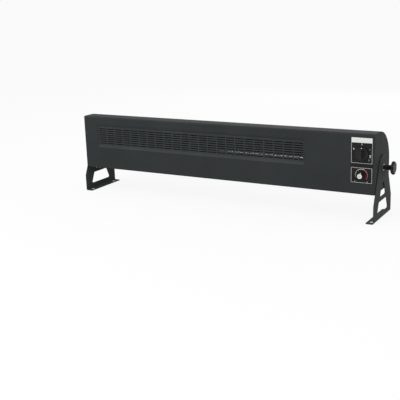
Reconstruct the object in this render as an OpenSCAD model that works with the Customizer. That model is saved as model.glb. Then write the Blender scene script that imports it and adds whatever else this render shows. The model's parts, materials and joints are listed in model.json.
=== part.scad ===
// Long electric fan heater that tilts between two steel feet.
// Millimetres. X runs along the housing to the control end, Y runs backwards, Z is up.
// The origin lies on the floor, midway between the feet, straight below the tilt axis.

/* [Housing] */
// Length of the housing over its end caps
body_length = 1160; // [1100:1:1250]
// Height of the housing
body_height = 200; // [192:1:215]
// Depth of the housing from front to back
body_depth = 156; // [152:1:165]
// Radius of the roll that joins the top to the back
roll_radius = 110; // [100:1:115]
// Outer radius of the bend between the front and the top
bend_radius = 5; // [3:0.5:8]
// Thickness of the casing sheet
sheet_t = 1; // [0.8:0.1:1.5]
// Thickness of the end caps
cap_t = 1.5; // [1.2:0.1:2]
// Depth of the flange that an end cap pushes into the casing
cap_flange = 12; // [8:1:16]
// Width of the lips that the bottom cover is screwed to
lip_w = 14; // [12:1:16]
// Thickness of the bottom cover
cover_t = 1; // [0.8:0.1:1.5]

/* [Outlet grille] */
// Distance from the left end of the housing to the recess
grille_left = 58; // [50:1:70]
// Distance from the right end of the housing to the recess
grille_right = 240.5; // [230:0.5:260]
// Height of the recess above the bottom of the housing
grille_bottom = 80; // [74:1:84]
// Height of the recess
grille_height = 91; // [88:1:96]
// Depth of the recess
recess_depth = 5; // [4:0.5:7]
// Width of the sloping side at each end of the recess
bevel_side = 4; // [3:0.5:8]
// Width of the sloping side above and below the slots
bevel_top = 9; // [7:0.5:10]
// Thickness of the grille sheet
grille_t = 1; // [0.8:0.1:1.2]
// Rows of slots
slot_rows = 8; // [5:1:9]
// Columns of slots
slot_columns = 23; // [12:1:25]
// Distance from one row of slots to the next
slot_pitch = 8; // [7:0.25:8]
// Height of one slot
slot_h = 4; // [3:0.25:4.5]
// Width of the web between two columns
slot_web = 4; // [3:0.5:8]
// How far a louvre lip leans out over its slot
louvre_reach = 1.5; // [1:0.1:3]
// How far a louvre lip drops over its slot
louvre_drop = 0.8; // [0.4:0.1:2.4]

/* [Air intake] */
// Rows of intake slots in the back
intake_rows = 5; // [3:1:5]
// Columns of intake slots in each of the two fields
intake_columns = 11; // [6:1:12]
// Distance between the rows of intake slots
intake_pitch_z = 12; // [10:0.5:13]
// Distance between the columns of intake slots
intake_pitch_x = 29; // [27:0.5:30]
// Length of one intake slot
intake_slot_l = 22; // [16:0.5:23]
// Height of one intake slot
intake_slot_h = 5; // [3:0.5:6]

/* [Feet] */
// Height of the housing above the floor
body_clearance = 95; // [85:1:110]
// Height of the tilt axis above the bottom of the housing
pivot_height = 77; // [70:1:90]
// Distance from the front of the housing to the tilt axis
pivot_setback = 82; // [76:1:84]
// Thickness of the bracket plate
plate_t = 2; // [1.5:0.5:4]
// Space between an end cap and its bracket
side_gap = 1; // [0.8:0.1:2]
// Length of a foot from front to back
foot_length = 188; // [180:1:200]
// Width of the flange that lies on the floor
foot_width = 28; // [24:1:36]
// Inner radius of the bend between the plate and its flange
foot_bend = 3; // [2:0.5:5]
// Height at which the sides of the plate start to lean in
upright_h = 60; // [38:1:64]
// Radius of the round head of the plate
head_radius = 44; // [38:1:48]
// Diameter of the fixing holes in the feet
foot_hole_d = 14; // [9:0.5:16]
// Distance between the two fixing holes of one foot
foot_hole_spacing = 138; // [120:1:150]
// Height of the lower edge of the large window
window_z = 21; // [16:1:24]
// Height of the large window
window_h = 41; // [36:1:50]
// Width of the large window at its lower edge
window_bottom_w = 116; // [100:1:124]
// Width of the large window at its upper edge
window_top_w = 80; // [70:1:90]
// Height of the crossbar between the two windows
crossbar_h = 15; // [10:1:18]
// Height of the small window
slot_window_h = 44; // [30:1:48]
// Width of the small window at its lower edge
slot_window_bottom_w = 58; // [40:1:62]
// Width of the small window at its upper edge
slot_window_top_w = 24; // [20:1:30]
// Corner radius of both windows
window_r = 5; // [3:0.5:8]

/* [Tilt knobs] */
// Diameter of the threaded stud
stud_d = 8; // [6:1:10]
// Diameter of the star head
knob_d = 44; // [38:1:50]
// Thickness of the star head
knob_head_t = 10; // [9:0.5:16]
// Diameter of the hub at its start
knob_hub_d = 15; // [14:0.5:20]
// Length of the hub
knob_hub_l = 27; // [16:1:30]
// Number of lobes on the star head
knob_lobes = 6; // [5:1:8]
// Outer diameter of the steel washer
washer_d = 24; // [20:1:28]
// Thickness of the steel washer
washer_t = 1.6; // [1:0.1:2.5]
// Outer diameter of the fibre disc between the cap and the bracket
disc_d = 40; // [30:1:50]

/* [Controls] */
// Distance from the right end of the housing to the middle of the controls
control_x = 43.5; // [42:0.5:60]
// Width of the control plate
control_plate_w = 72; // [66:1:80]
// Height of the lower edge of the control plate above the housing's bottom
control_plate_z = 37.5; // [30:0.5:45]
// Height of the control plate
control_plate_h = 150.5; // [144:0.5:154]
// Thickness of the control plate
control_plate_t = 1; // [0.6:0.1:1.5]
// Height of the switch axis above the bottom of the housing
switch_z = 134; // [125:1:140]
// Height of the thermostat axis above the bottom of the housing
thermostat_z = 64; // [58:1:70]
// Diameter of the switch knob's skirt
switch_knob_d = 44; // [36:1:48]
// Length that the switch knob stands out
switch_knob_l = 21; // [16:1:26]
// Width of the switch knob's grip
switch_grip_w = 12; // [9:0.5:16]
// Length of the switch knob's grip
switch_grip_l = 28; // [22:1:30]
// Diameter of the thermostat knob
thermostat_knob_d = 18; // [16:0.5:24]
// Length that the thermostat knob stands out
thermostat_knob_l = 19; // [14:1:24]
// Diameter of the control spindles
spindle_d = 6; // [5:0.5:7]
// Direction of the thermostat's pointer, clockwise from the top
pointer_angle = 20; // [0:5:90]

/* [Blowers] */
// Outer diameter of a blower wheel
wheel_d = 60; // [54:1:62]
// Length of a blower wheel in a housing of the common length
wheel_length = 330; // [300:1:332]
// Number of blades in a wheel
wheel_blades = 20; // [12:1:24]
// Thickness of a blade
blade_t = 0.8; // [0.6:0.1:1.2]
// Depth of a blade towards the axis
blade_depth = 7; // [5:0.5:8]
// Number of discs that hold the blades
wheel_discs = 6; // [3:1:8]
// Distance from the back of the housing to the wheel's axis
wheel_back = 56; // [54:1:60]
// Distance from the top of the housing down to the wheel's axis
wheel_z = 79; // [76:1:84]
// Diameter of the wheel's shaft
shaft_d = 6; // [5:0.5:8]
// Thickness of the blower sheet
blower_t = 0.8; // [0.6:0.1:1.5]
// Side of the motor's square stack of plates
stack_w = 62; // [56:1:66]
// Length of the motor's stack of plates
stack_l = 25; // [20:1:36]
// Length of each motor end bell
bell_l = 14; // [10:1:16]

/* [Heating] */
// Diameter of a heating tube
tube_d = 8.5; // [7:0.5:10]
// Diameter of the fins
fin_d = 24; // [20:0.5:25]
// Thickness of a fin
fin_t = 0.8; // [0.6:0.1:1.5]
// Distance between two fins
fin_pitch = 12; // [8:1:20]
// Distance between two heating tubes
tube_pitch = 26; // [26:0.5:28]
// Distance of the heating tubes behind the front of the housing
tube_setback = 30; // [26:1:34]

/* [Clearances] */
// Clearance between parts that slide together
slide_fit = 0.3; // [0.2:0.05:0.5]
// Radial clearance of a shaft in its bearing
running_fit = 0.05; // [0.02:0.01:0.1]
// Radial clearance of a bolt in its hole
bolt_fit = 0.25; // [0.2:0.05:0.5]

/* [Hidden] */

$fn = 48;
over = 1;

// Colours of the finishes
paint = [0.2, 0.21, 0.21];
bracket_paint = [0.21, 0.215, 0.215];
galvanised = [0.66, 0.68, 0.7];
bright_steel = [0.78, 0.78, 0.8];
black_plastic = [0.06, 0.06, 0.065];
white_plastic = [0.88, 0.88, 0.86];
copper = [0.72, 0.42, 0.24];
brass = [0.8, 0.66, 0.36];

// Places of the housing's faces
front_y = -pivot_setback;
back_y = body_depth - pivot_setback;
base_z = body_clearance;
top_z = body_clearance + body_height;
pivot_z = body_clearance + pivot_height;
end_x = body_length / 2;
casing_l = body_length - 2 * cap_t;
front_inside = front_y + sheet_t;
back_inside = back_y - sheet_t;
cover_top = base_z + cover_t;
lip_top = cover_top + sheet_t;

// Screws of the bottom cover: four along the front lip and four along the back lip
screw_d = 4;
screw_inset = 55;
screws_in_row = 4;
screw_step = (body_length - 2 * screw_inset) / (screws_in_row - 1);
screw_rows = [for (s = [-1, 1], i = [0 : screws_in_row - 1]) [screw_inset - end_x + i * screw_step, s]];
function screw_y(s) = s < 0 ? front_inside + lip_w / 2 : back_inside - lip_w / 2;

// Outlet grille
grille_x0 = grille_left - end_x;
grille_x1 = end_x - grille_right;
grille_z0 = base_z + grille_bottom;
grille_z1 = grille_z0 + grille_height;
grille_mid_x = (grille_x0 + grille_x1) / 2;
grille_mid_z = (grille_z0 + grille_z1) / 2;
grille_lap = 5;
grille_rim = 0.8;
field_l = grille_x1 - grille_x0 - 2 * bevel_side;
field_y = front_y + recess_depth;
slot_l = (field_l - (slot_columns + 1) * slot_web) / slot_columns;

// Each of the two blower wheels takes half of what a housing is longer than the common one
common_length = 1160;
wheel_l = wheel_length + (body_length - common_length) / 2;

// Blower units, counted along X from the outer plate of each
wheel_axis_y = back_y - wheel_back;
wheel_axis_z = top_z - wheel_z;
unit_inset = 4;
wheel_gap = 5;
wheel_start = blower_t + wheel_gap;
wheel_end = wheel_start + wheel_l;
wheel_grip = 12;
inner_plate = wheel_end + wheel_gap;
motor_start = inner_plate + blower_t;
motor_l = 2 * bell_l + stack_l;
bell_d = 44;
stack_corner = 4;
coil_w = 34;
coil_h = 10;
coil_over = 4;
scroll_r = wheel_d / 2 + 4;
tongue_r = wheel_d / 2 + 3;
stub_l = wheel_gap + blower_t + 3;
rotor_d = 30;
air_gap = 0.4;
rotor_tail = 2;
bush_d = 18;
bush_out = 2.5;
bush_flange_d = 24;
bush_flange_t = 2;
press_gap = 0.02;

// Thickness of every push-on terminal tag
tag_t = 0.8;

// The heated zone between the two plates that hold the heating tubes
zone_wall_t = 1.2;
zone_half = field_l / 2;
zone_x0 = grille_mid_x - zone_half;
zone_x1 = grille_mid_x + zone_half;
tube_y = front_y + tube_setback;
tube_end = 18;
tube_pin_l = 14;
tube_pin_d = 4;
fin_gap = 1;
guide_t = 0.8;
guide_edge = 6;
guide_front = field_y + grille_t + slide_fit;
guide_back = tube_y + fin_d / 2 + 4;
guide_low = grille_mid_z - tube_pitch - fin_d / 2 - fin_gap - guide_t;
guide_high = grille_mid_z + tube_pitch + fin_d / 2 + fin_gap;
function tube_z(k) = grille_mid_z + k * tube_pitch;

// Air intake in the back, one field behind each blower wheel
intake_mid_z = base_z + (body_height - roll_radius) / 2;
intake_offset = zone_half - unit_inset - wheel_start - wheel_l / 2;

// Cable gland
gland_inset = 90;
gland_rise = 36;
gland_x = end_x - gland_inset;
gland_z = base_z + gland_rise;
gland_thread_d = 25;
gland_hex_d = 33;
gland_hex_t = 7;
gland_dome_l = 20;
gland_tip_l = 6;
gland_tail = 11;
gland_taper = 10;
cable_bore_d = 13;

// Feet and tilt hardware
plate_x = end_x + side_gap;
plate_out = plate_x + plate_t;
foot_hole_x = plate_out - foot_width / 2;
nut_l = 12;
nut_w = 15;
disc_t = side_gap - 0.2;
stud_in = nut_l - 1;
stud_grip = knob_hub_l;
knob_flare = 3;

// Controls
control_mid_x = end_x - control_x;
switch_axis_z = base_z + switch_z;
thermostat_axis_z = base_z + thermostat_z;
plate_face = front_y - control_plate_t;
knob_gap = 0.5;
spindle_hole_d = spindle_d + 3;
switch_body_w = 46;
switch_body_l = 58;
thermostat_body_w = 40;
thermostat_body_l = 26;
spindle_grip = 10;
spindle_in = 12;
bulb_d = 7;
bulb_l = 50;
bulb_x = zone_x1 - bulb_d / 2 - 1.5;
bulb_y = back_inside - 9;
capillary_d = 2;
capillary_bend = 8;
capillary_rise = 10;
capillary_z = thermostat_axis_z + capillary_rise;
capillary_hole_d = 14;

// Extrudes a drawing of the section, given as Y and Z, along X from x0 to x1
module section(x0, x1) {
    translate([x0, 0, 0])
    rotate([90, 0, 90])
    linear_extrude(x1 - x0) children();
}

// Extrudes a drawing of the front, given as X and Z, along Y from y0 to y1
module elevation(y0, y1) {
    translate([0, y1, 0])
    rotate([90, 0, 0])
    linear_extrude(y1 - y0) children();
}

// A rod along X
module rod_x(x0, x1, d) {
    translate([x0, 0, 0])
    rotate([0, 90, 0])
    cylinder(h = x1 - x0, d = d);
}

// A rod along Y
module rod_y(y0, y1, d) {
    translate([0, y1, 0])
    rotate([90, 0, 0])
    cylinder(h = y1 - y0, d = d);
}

// Moves its children to the tilt axis
module at_pivot() {
    translate([0, 0, pivot_z]) children();
}

// Moves its children to the axis of the blower wheels
module at_wheel() {
    translate([0, wheel_axis_y, wheel_axis_z]) children();
}

// The right-hand piece as it is, or its mirror image at the left end
module at_end(side) {
    mirror([side == "left" ? 1 : 0, 0, 0]) children();
}

// A blower unit, from its outer plate inwards
module at_unit(side) {
    translate([grille_mid_x, 0, 0])
    mirror([side == "right" ? 1 : 0, 0, 0])
    translate([unit_inset - zone_half, 0, 0]) children();
}

function unit(v) = v / norm(v);
function half_angle(a, b, c) = acos(unit(a - b) * unit(c - b)) / 2;
function arc_centre(a, b, c, r) = b + unit(unit(a - b) + unit(c - b)) * r / sin(half_angle(a, b, c));
function arc_end(a, b, c, r) = b + unit(a - b) * r / tan(half_angle(a, b, c));

// A convex outline with true arcs of radius r at its corners. Each circle is a hair larger than
// its arc, so that it crosses the sides and doesn't only touch them.
module rounded(points, r) {
    n = len(points);
    hair = 0.002;
    difference() {
        polygon(points);
        for (i = [0 : n - 1]) {
            a = points[(i + n - 1) % n];
            b = points[i];
            c = points[(i + 1) % n];
            difference() {
                polygon([b, arc_end(a, b, c, r), arc_centre(a, b, c, r), arc_end(c, b, a, r)]);
                translate(arc_centre(a, b, c, r)) circle(r + hair);
            }
        }
    }
}

// A slot with round ends that lies along the first axis
module round_slot(l, h) {
    square([l - h, h], center = true);
    for (s = [-1, 1])
        translate([s * (l - h) / 2, 0]) circle(d = h);
}

// The closed outline of the housing, drawn in Y and Z and moved inwards by inset
module housing_outline(inset) {
    difference() {
        translate([front_y + inset, base_z + inset])
            square([body_depth - 2 * inset, body_height - 2 * inset]);
        difference() {
            translate([back_y - roll_radius, top_z - roll_radius]) square(roll_radius + over);
            translate([back_y - roll_radius, top_z - roll_radius]) circle(roll_radius - inset, $fn = 128);
        }
        if (bend_radius > inset)
            difference() {
                translate([front_y - over, top_z - bend_radius]) square(bend_radius + over);
                translate([front_y + bend_radius, top_z - bend_radius]) circle(bend_radius - inset);
            }
    }
}

// Stand

// The sloping sides run just inside the head's circle, so that they cross it and don't only touch it
module bracket_outline() {
    half = foot_length / 2;
    foot_top = plate_t + foot_bend;
    side_r = head_radius - 0.05;
    reach = norm([half, pivot_z - upright_h]);
    lean = atan2(half, pivot_z - upright_h) + acos(side_r / reach) - 90;
    touch = [side_r * cos(lean), pivot_z + side_r * sin(lean)];
    difference() {
        union() {
            polygon([[-half, foot_top], [half, foot_top], [half, upright_h], touch,
                [-touch[0], touch[1]], [-half, upright_h]]);
            translate([0, pivot_z]) circle(head_radius, $fn = 96);
        }
        rounded([[-window_bottom_w / 2, window_z], [window_bottom_w / 2, window_z],
            [window_top_w / 2, window_z + window_h], [-window_top_w / 2, window_z + window_h]], window_r);
        translate([0, window_z + window_h + crossbar_h])
            rounded([[-slot_window_bottom_w / 2, 0], [slot_window_bottom_w / 2, 0],
                [slot_window_top_w / 2, slot_window_h], [-slot_window_top_w / 2, slot_window_h]], window_r);
    }
}

module foot_bend_section() {
    r = foot_bend + plate_t;
    translate([plate_out - r, r])
    intersection() {
        difference() {
            circle(r);
            circle(foot_bend);
        }
        translate([0, -r]) square(r);
    }
}

module foot_flange() {
    r = foot_bend + plate_t;
    tip = plate_out - foot_width;
    corner = 6;
    linear_extrude(plate_t)
    difference() {
        union() {
            translate([tip + corner, -foot_length / 2]) square([foot_width - r - corner, foot_length]);
            translate([tip, corner - foot_length / 2]) square([corner, foot_length - 2 * corner]);
            for (s = [-1, 1])
                translate([tip + corner, s * (foot_length / 2 - corner)]) circle(corner);
        }
        for (s = [-1, 1])
            translate([foot_hole_x, s * foot_hole_spacing / 2]) circle(d = foot_hole_d);
    }
}

module bracket(side) {
    color(bracket_paint)
    at_end(side) {
        difference() {
            section(plate_x, plate_out) bracket_outline();
            at_pivot() rod_x(plate_x - over, plate_out + over, stud_d + 2 * bolt_fit);
        }
        elevation(-foot_length / 2, foot_length / 2) foot_bend_section();
        foot_flange();
    }
}

module left_bracket() { bracket("left"); }
module right_bracket() { bracket("right"); }

// Housing shell

module intake_field() {
    for (i = [0 : intake_columns - 1], k = [0 : intake_rows - 1])
        translate([
            (i - (intake_columns - 1) / 2) * intake_pitch_x,
            (k - (intake_rows - 1) / 2) * intake_pitch_z
        ])
            round_slot(intake_slot_l, intake_slot_h);
}

module outer_casing() {
    color(paint)
    difference() {
        section(-casing_l / 2, casing_l / 2) {
            difference() {
                housing_outline(0);
                housing_outline(sheet_t);
                translate([front_inside, base_z - over])
                    square([back_inside - front_inside, sheet_t + 2 * over]);
            }
            translate([front_inside, cover_top]) square([lip_w, sheet_t]);
            translate([back_inside - lip_w, cover_top]) square([lip_w, sheet_t]);
        }
        elevation(front_y - over, front_inside + over) {
            translate([grille_x0, grille_z0]) square([grille_x1 - grille_x0, grille_height]);
            translate([control_mid_x, switch_axis_z]) circle(d = spindle_hole_d);
            translate([control_mid_x, thermostat_axis_z]) circle(d = spindle_hole_d);
        }
        elevation(back_inside - over, back_y + over) {
            for (s = [-1, 1])
                translate([grille_mid_x + s * intake_offset, intake_mid_z]) intake_field();
            translate([gland_x, gland_z]) circle(d = gland_thread_d + 2 * bolt_fit);
        }
        screw_holes(cover_top, sheet_t);
    }
}

// The holes for the bottom screws, through a sheet that starts at height z
module screw_holes(z, t) {
    for (p = screw_rows)
        translate([p[0], screw_y(p[1]), z - over])
            cylinder(h = t + 2 * over, d = screw_d + 2 * bolt_fit);
}

// A block with four sloping sides, as wide as the recess in front and as the slotted field behind
module recess_block(y0, y1, rim) {
    x0 = grille_x0 + rim;
    x1 = grille_x1 - rim;
    z0 = grille_z0 + rim;
    z1 = grille_z1 - rim;
    intersection() {
        translate([0, 0, z0])
        linear_extrude(z1 - z0)
            polygon([[x0, y0], [x1, y0], [grille_x1 - bevel_side, y1], [grille_x0 + bevel_side, y1]]);
        section(x0, x1)
            polygon([[y0, z0], [y0, z1], [y1, grille_z1 - bevel_top], [y1, grille_z0 + bevel_top]]);
    }
}

module slot_field() {
    for (i = [0 : slot_columns - 1], k = [0 : slot_rows - 1])
        translate([slot_left(i), slot_low(k)]) square([slot_l, slot_h]);
}

function slot_left(i) = grille_x0 + bevel_side + slot_web + i * (slot_l + slot_web);

function slot_low(k) = grille_mid_z + (k - (slot_rows - 1) / 2) * slot_pitch - slot_h / 2;

module louvre_lip(z) {
    root = field_y + grille_t / 2;
    polygon([[root, z], [root, z + grille_t], [field_y - louvre_reach, z + grille_t - louvre_drop],
        [field_y - louvre_reach, z - louvre_drop]]);
}

module front_grille() {
    color(paint) {
        difference() {
            union() {
                elevation(front_inside, front_inside + grille_t)
                    translate([grille_x0 - grille_lap, grille_z0 - grille_lap])
                        square([grille_x1 - grille_x0 + 2 * grille_lap, grille_height + 2 * grille_lap]);
                elevation(front_y, front_inside)
                    translate([grille_x0 + slide_fit, grille_z0 + slide_fit])
                        square([grille_x1 - grille_x0 - 2 * slide_fit, grille_height - 2 * slide_fit]);
                recess_block(front_inside, field_y + grille_t, slide_fit);
            }
            recess_block(front_y, field_y, grille_rim);
            elevation(field_y - over, field_y + grille_t + over) slot_field();
        }
        for (i = [0 : slot_columns - 1])
            section(slot_left(i), slot_left(i) + slot_l)
                for (k = [0 : slot_rows - 1]) louvre_lip(slot_low(k) + slot_h);
    }
}

module bottom_cover() {
    color(paint)
    difference() {
        translate([-casing_l / 2, front_inside + slide_fit, base_z])
            cube([casing_l, back_inside - front_inside - 2 * slide_fit, cover_t]);
        screw_holes(base_z, cover_t);
    }
}

module end_cap(side) {
    color(paint)
    at_end(side)
    difference() {
        union() {
            section(end_x - cap_t, end_x) housing_outline(0);
            section(end_x - cap_t - cap_flange, end_x - cap_t)
            difference() {
                housing_outline(sheet_t + slide_fit);
                housing_outline(sheet_t + slide_fit + cap_t);
                translate([front_y, base_z]) square([body_depth, lip_top + slide_fit - base_z]);
            }
        }
        at_pivot() rod_x(end_x - cap_t - over, end_x + over, stud_d + 2 * bolt_fit);
    }
}

module left_end_cap() { end_cap("left"); }
module right_end_cap() { end_cap("right"); }

module bottom_screws() {
    head_h = 2.2;
    head_d = 8;
    screw_l = 8;
    color(bright_steel)
    for (p = screw_rows)
        translate([p[0], screw_y(p[1]), base_z]) {
            translate([0, 0, -head_h])
            difference() {
                cylinder(h = head_h, d1 = head_d * 0.7, d2 = head_d, $fn = 32);
                translate([0, 0, head_h / 4 - over])
                    for (a = [0, 90]) rotate(a) cube([head_d / 2, 1, head_h / 2 + over], center = true);
            }
            cylinder(h = screw_l, d = screw_d);
        }
}

// Inner frame

// A plate across the housing that carries the heating tubes, from y0 to y1
module zone_wall(x, y0, y1) {
    notch = 2 * (sheet_t + lip_w + slide_fit);
    section(x, x + zone_wall_t)
    difference() {
        intersection() {
            housing_outline(sheet_t + slide_fit);
            translate([y0, cover_top]) square([y1 - y0, body_height]);
        }
        for (k = [-1, 0, 1])
            translate([tube_y, tube_z(k)]) circle(d = tube_d + 2 * slide_fit);
        for (y = [front_y, back_y])
            translate([y, lip_top - over]) square([notch, 2 * (over + slide_fit)], center = true);
    }
}

module control_bulkhead() {
    color(galvanised)
    difference() {
        zone_wall(zone_x1, guide_front, back_inside);
        translate([0, bulb_y, capillary_z])
            rod_x(zone_x1 - over, zone_x1 + zone_wall_t + over, capillary_hole_d);
    }
}

module left_element_bracket() {
    color(galvanised) zone_wall(zone_x0 - zone_wall_t, guide_front, back_inside);
}

module element_support() {
    color(galvanised) zone_wall(grille_mid_x - zone_wall_t / 2, guide_front, guide_back);
}

// Two sheets in line that lead the air to the grille, split by the middle support
module air_guide(z, edge) {
    split = zone_wall_t / 2 + slide_fit;
    color(galvanised)
    for (s = [0, 1])
        mirror_about_middle(s)
        section(grille_mid_x + split, zone_x1) {
            translate([guide_front, z]) square([guide_back - guide_front, guide_t]);
            translate([guide_back - guide_t, min(z, z + edge)]) square([guide_t, abs(edge) + guide_t]);
        }
}

module mirror_about_middle(s) {
    translate([grille_mid_x, 0, 0])
    mirror([s, 0, 0])
    translate([-grille_mid_x, 0, 0]) children();
}

module upper_air_guide() { air_guide(guide_high, guide_edge); }
module lower_air_guide() { air_guide(guide_low, -guide_edge); }

// Blowers

// A ring sector between two angles, round the axis of the wheel
module ring_sector(r, t, a0, a1) {
    far = 2 * r;
    mid = (a0 + a1) / 2;
    intersection() {
        difference() {
            circle(r + t, $fn = 96);
            circle(r, $fn = 96);
        }
        polygon([[0, 0], [far * cos(a0), far * sin(a0)], [far * cos(mid), far * sin(mid)],
            [far * cos(a1), far * sin(a1)]]);
    }
}

module scroll_section() {
    mouth = guide_back + slide_fit - wheel_axis_y;
    low = guide_low + guide_t - wheel_axis_z;
    high = guide_high - wheel_axis_z;
    tip_angle = 215;
    ring_sector(scroll_r, blower_t, 0, 90);
    polygon([[0, scroll_r], [0, scroll_r + blower_t], [mouth, high + blower_t], [mouth, high]]);
    ring_sector(tongue_r, blower_t, tip_angle, tip_angle + 35);
    polygon([[mouth, low], [mouth, low - blower_t],
        [(tongue_r + blower_t) * cos(tip_angle + 4), (tongue_r + blower_t) * sin(tip_angle + 4)],
        [(tongue_r + 0.1) * cos(tip_angle), (tongue_r + 0.1) * sin(tip_angle)]]);
}

module blower_plate(x, hole_d) {
    section(x, x + blower_t)
    difference() {
        intersection() {
            housing_outline(sheet_t + 4);
            translate([guide_back + slide_fit, cover_top])
                square([wheel_axis_y + scroll_r + 4 - guide_back - slide_fit, guide_high + 2 - cover_top]);
        }
        translate([wheel_axis_y, wheel_axis_z]) circle(d = hole_d);
    }
}

module blower_casing(side) {
    color(galvanised)
    at_unit(side) {
        blower_plate(0, bush_d + 2 * slide_fit);
        blower_plate(inner_plate, shaft_d + 4);
        section(blower_t, inner_plate)
            translate([wheel_axis_y, wheel_axis_z]) scroll_section();
    }
}

module left_blower_casing() { blower_casing("left"); }
module right_blower_casing() { blower_casing("right"); }

module fan_motor(side) {
    stack_x = motor_start + bell_l;
    half = stack_w / 2;
    color(galvanised)
    at_unit(side)
    at_wheel()
    difference() {
        union() {
            rod_x(motor_start, motor_start + motor_l, bell_d);
            section(stack_x, stack_x + stack_l)
                rounded([[-half, -half], [half, -half], [half, half], [-half, half]], stack_corner);
            translate([stack_x - coil_over, -coil_w / 2, -half - coil_h])
                cube([stack_l + 2 * coil_over, coil_w, coil_h]);
        }
        rod_x(stack_x, stack_x + stack_l, rotor_d + 2 * air_gap);
        rod_x(motor_start - over, motor_start + motor_l + over, shaft_d + 2 * running_fit);
    }
}

module left_fan_motor() { fan_motor("left"); }
module right_fan_motor() { fan_motor("right"); }

module rotor(side) {
    stack_x = motor_start + bell_l;
    end_play = 0.5;
    color(bright_steel)
    at_unit(side)
    at_wheel() {
        rod_x(wheel_end - wheel_grip, motor_start + motor_l + rotor_tail, shaft_d);
        rod_x(stack_x + end_play, stack_x + stack_l - end_play, rotor_d);
    }
}

module left_rotor() { rotor("left"); }
module right_rotor() { rotor("right"); }

module wheel_bush(side) {
    color([0.12, 0.12, 0.12])
    at_unit(side)
    at_wheel()
    difference() {
        union() {
            rod_x(-bush_out, blower_t, bush_d);
            rod_x(blower_t, blower_t + bush_flange_t, bush_flange_d);
        }
        rod_x(-bush_out - over, blower_t + bush_flange_t + over, shaft_d + 2 * running_fit);
    }
}

module left_wheel_bush() { wheel_bush("left"); }
module right_wheel_bush() { wheel_bush("right"); }

module blade_section() {
    r = wheel_d / 2;
    bow = blade_depth + 1;
    intersection() {
        translate([r - blade_depth, bow])
        difference() {
            circle(bow + blade_t / 2);
            circle(bow - blade_t / 2);
        }
        translate([r - blade_depth, -blade_t]) square([blade_depth + over, bow + blade_t]);
        circle(r - 0.3, $fn = 96);
    }
}

// A drum of curved blades held by thin discs, with a stub shaft at its outer end
module blower_wheel(side) {
    disc_w = 1.2;
    hub_d = 14;
    step = wheel_l / (wheel_discs - 1);
    color(black_plastic)
    at_unit(side)
    at_wheel()
    difference() {
        union() {
            section(wheel_start, wheel_end)
                for (i = [0 : wheel_blades - 1]) rotate(i * 360 / wheel_blades) blade_section();
            for (i = [1 : wheel_discs - 2])
                section(wheel_start + i * step - disc_w / 2, wheel_start + i * step + disc_w / 2)
                difference() {
                    circle(d = wheel_d, $fn = 96);
                    circle(wheel_d / 2 - blade_depth - 1, $fn = 96);
                }
            rod_x(wheel_start, wheel_start + disc_w, wheel_d);
            rod_x(wheel_end - disc_w, wheel_end, wheel_d);
            rod_x(wheel_start - stub_l, wheel_start + wheel_grip, shaft_d);
            rod_x(wheel_end - wheel_grip - 2, wheel_end, hub_d);
        }
        rod_x(wheel_end - wheel_grip, wheel_end + over, shaft_d + 2 * press_gap);
    }
}

module left_blower_wheel() { blower_wheel("left"); }
module right_blower_wheel() { blower_wheel("right"); }

// Heating

// One turned outline gives the tube, its fins and its terminal pins
module heating_tube(k) {
    half = zone_half + zone_wall_t + tube_end;
    margin = 8;
    pairs = floor((zone_half - margin) / fin_pitch);
    fins = [for (i = [-pairs : pairs - 1]) (i + 0.5) * fin_pitch];
    r = tube_d / 2;
    pin_r = tube_pin_d / 2;
    color(bright_steel)
    translate([grille_mid_x, tube_y, tube_z(k)])
    rotate([0, 90, 0])
    rotate_extrude($fn = 36)
    polygon(concat(
        [[0, -half - tube_pin_l], [pin_r, -half - tube_pin_l], [pin_r, -half], [r, -half]],
        [for (a = fins, p = [[r, -1], [fin_d / 2, -1], [fin_d / 2, 1], [r, 1]]) [p[0], a + p[1] * fin_t / 2]],
        [[r, half], [pin_r, half], [pin_r, half + tube_pin_l], [0, half + tube_pin_l]]));
}

module upper_heating_tube() { heating_tube(1); }
module middle_heating_tube() { heating_tube(0); }
module lower_heating_tube() { heating_tube(-1); }

module thermal_cutouts() {
    body_d = 16;
    body_h = 5;
    cap_d = 12;
    cap_h = 8;
    tag_w = 6.3;
    tag_h = 7;
    tag_offset = 4;
    color(white_plastic)
    for (s = [-1, 1])
        translate([grille_mid_x + s * zone_half / 2, tube_y, guide_high + guide_t]) {
            cylinder(h = body_h, d = body_d);
            cylinder(h = cap_h, d = cap_d);
            for (t = [-1, 1])
                translate([t * tag_offset - tag_w / 2, -tag_t / 2, cap_h]) cube([tag_w, tag_t, tag_h]);
        }
}

// Controls

module control_plate() {
    x0 = control_mid_x - control_plate_w / 2;
    z0 = base_z + control_plate_z;
    color(black_plastic)
    elevation(plate_face, front_y)
    difference() {
        rounded([[x0, z0], [x0 + control_plate_w, z0],
            [x0 + control_plate_w, z0 + control_plate_h], [x0, z0 + control_plate_h]], 1.5);
        translate([control_mid_x, switch_axis_z]) circle(d = spindle_hole_d);
        translate([control_mid_x, thermostat_axis_z]) circle(d = spindle_hole_d);
    }
}

// A cam switch: a front plate and a stack of contact decks behind it
module cam_switch() {
    decks = 4;
    front_t = 4;
    deck_l = (switch_body_l - front_t) / decks;
    color([0.2, 0.2, 0.21])
    translate([control_mid_x, 0, switch_axis_z])
    difference() {
        union() {
            elevation(front_inside, front_inside + front_t)
                square(switch_body_w, center = true);
            for (i = [0 : decks - 1]) {
                y = front_inside + front_t + i * deck_l;
                elevation(y, y + deck_l - 2) square(switch_body_w - 4, center = true);
                elevation(y + deck_l - 2, y + deck_l) square(switch_body_w - 8, center = true);
            }
        }
        rod_y(front_inside - over, front_inside + spindle_in, spindle_d + 2 * running_fit);
    }
}

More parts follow.
